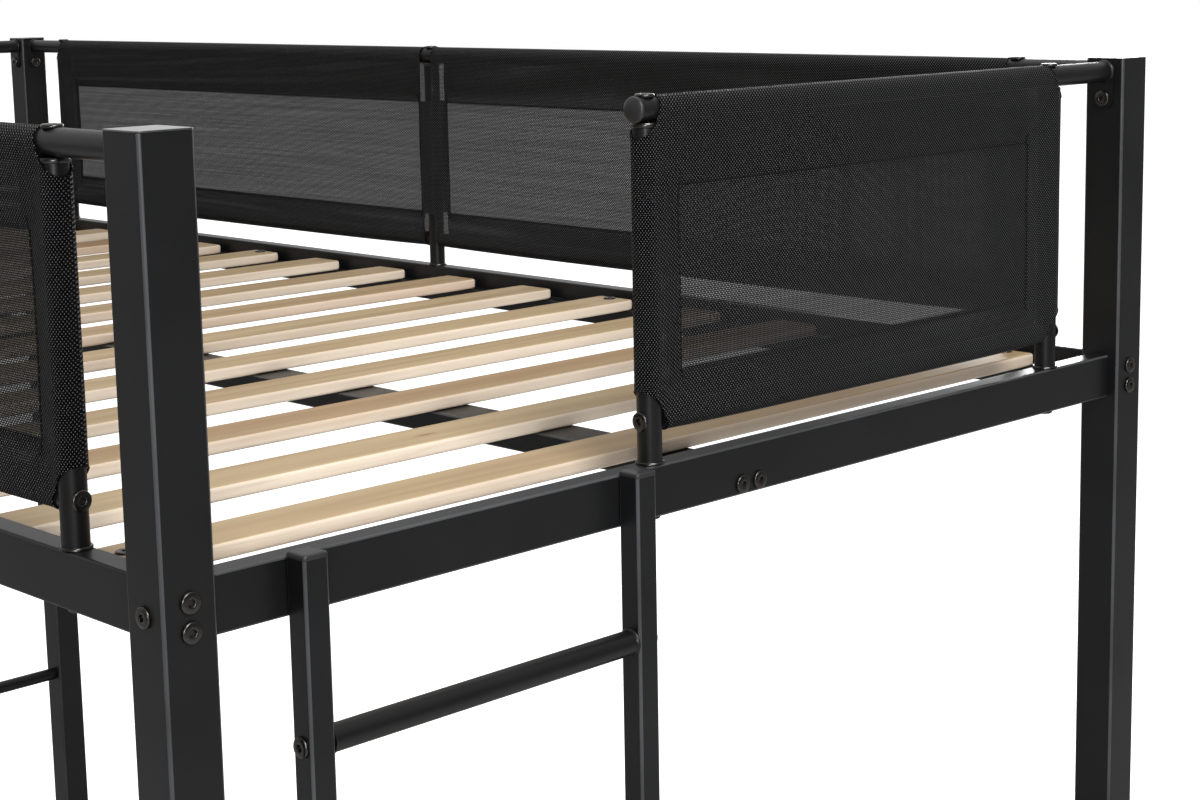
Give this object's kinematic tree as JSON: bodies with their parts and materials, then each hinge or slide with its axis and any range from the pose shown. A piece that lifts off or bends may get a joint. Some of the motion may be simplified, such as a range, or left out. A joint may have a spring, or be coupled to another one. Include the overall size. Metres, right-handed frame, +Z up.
{
  "type": "bunk bed",
  "caption": "twin bunk bed of bolted square steel posts and flat rails with slatted decks, fabric mesh guard panels and a fixed end ladder",
  "frame": {"origin": "on the floor, below the middle of the whole bed with its ladder", "axes": "+Z up; +Y along the bed, from the ladder end to the far end; +X to the right as seen from the ladder end"},
  "size_m": [1.09, 2.0302, 1.65],
  "materials": {
    "frame_steel": "satin black powder coat",
    "cap_plastic": "fine-grained black moulded plastic",
    "slat_wood": "planed pale softwood, unfinished",
    "guard_mesh": "black open-weave coated polyester mesh"
  },
  "bodies": {
    "root": {"post_front_left": "frame_steel", "post_cap_front_left": "cap_plastic", "post_front_right": "frame_steel", "post_cap_front_right": "cap_plastic", "post_rear_left": "frame_steel", "post_cap_rear_left": "cap_plastic", "post_rear_right": "frame_steel", "post_cap_rear_right": "cap_plastic", "upper_rail_left": "frame_steel", "upper_rail_right": "frame_steel", "upper_end_rail_front": "frame_steel", "upper_end_rail_rear": "frame_steel", "upper_centre_beam": "frame_steel", "lower_rail_left": "frame_steel", "lower_rail_right": "frame_steel", "lower_end_rail_front": "frame_steel", "lower_end_rail_rear": "frame_steel", "lower_centre_beam": "frame_steel", "upper_slat_01": "slat_wood", "upper_slat_02": "slat_wood", "upper_slat_03": "slat_wood", "upper_slat_04": "slat_wood", "upper_slat_05": "slat_wood", "upper_slat_06": "slat_wood", "upper_slat_07": "slat_wood", "upper_slat_08": "slat_wood", "upper_slat_09": "slat_wood", "upper_slat_10": "slat_wood", "upper_slat_11": "slat_wood", "upper_slat_12": "slat_wood", "upper_slat_13": "slat_wood", "upper_slat_14": "slat_wood", "lower_slat_deck": "slat_wood", "front_guard_top_tube": "frame_steel", "front_guard_upright_left": "frame_steel", "front_guard_upright_right": "frame_steel", "front_guard_lower_tube": "frame_steel", "front_guard_fabric": "guard_mesh", "rear_guard_top_tube": "frame_steel", "rear_guard_upright_left": "frame_steel", "rear_guard_upright_right": "frame_steel", "rear_guard_lower_tube": "frame_steel", "rear_guard_fabric": "guard_mesh", "left_guard_top_tube": "frame_steel", "left_guard_frame": "frame_steel", "left_guard_fabric_near": "guard_mesh", "left_guard_fabric_far": "guard_mesh", "right_guard_top_tube": "frame_steel", "right_guard_frame": "frame_steel", "right_guard_fabric_near": "guard_mesh", "right_guard_fabric_far": "guard_mesh", "lower_end_tube_front": "frame_steel", "lower_end_tube_rear": "frame_steel", "ladder_upright_left": "frame_steel", "ladder_upright_right": "frame_steel", "ladder_rung_1": "frame_steel", "ladder_rung_2": "frame_steel", "ladder_rung_3": "frame_steel", "ladder_rung_4": "frame_steel", "ladder_rung_5": "frame_steel"}
  },
  "joints": []
}
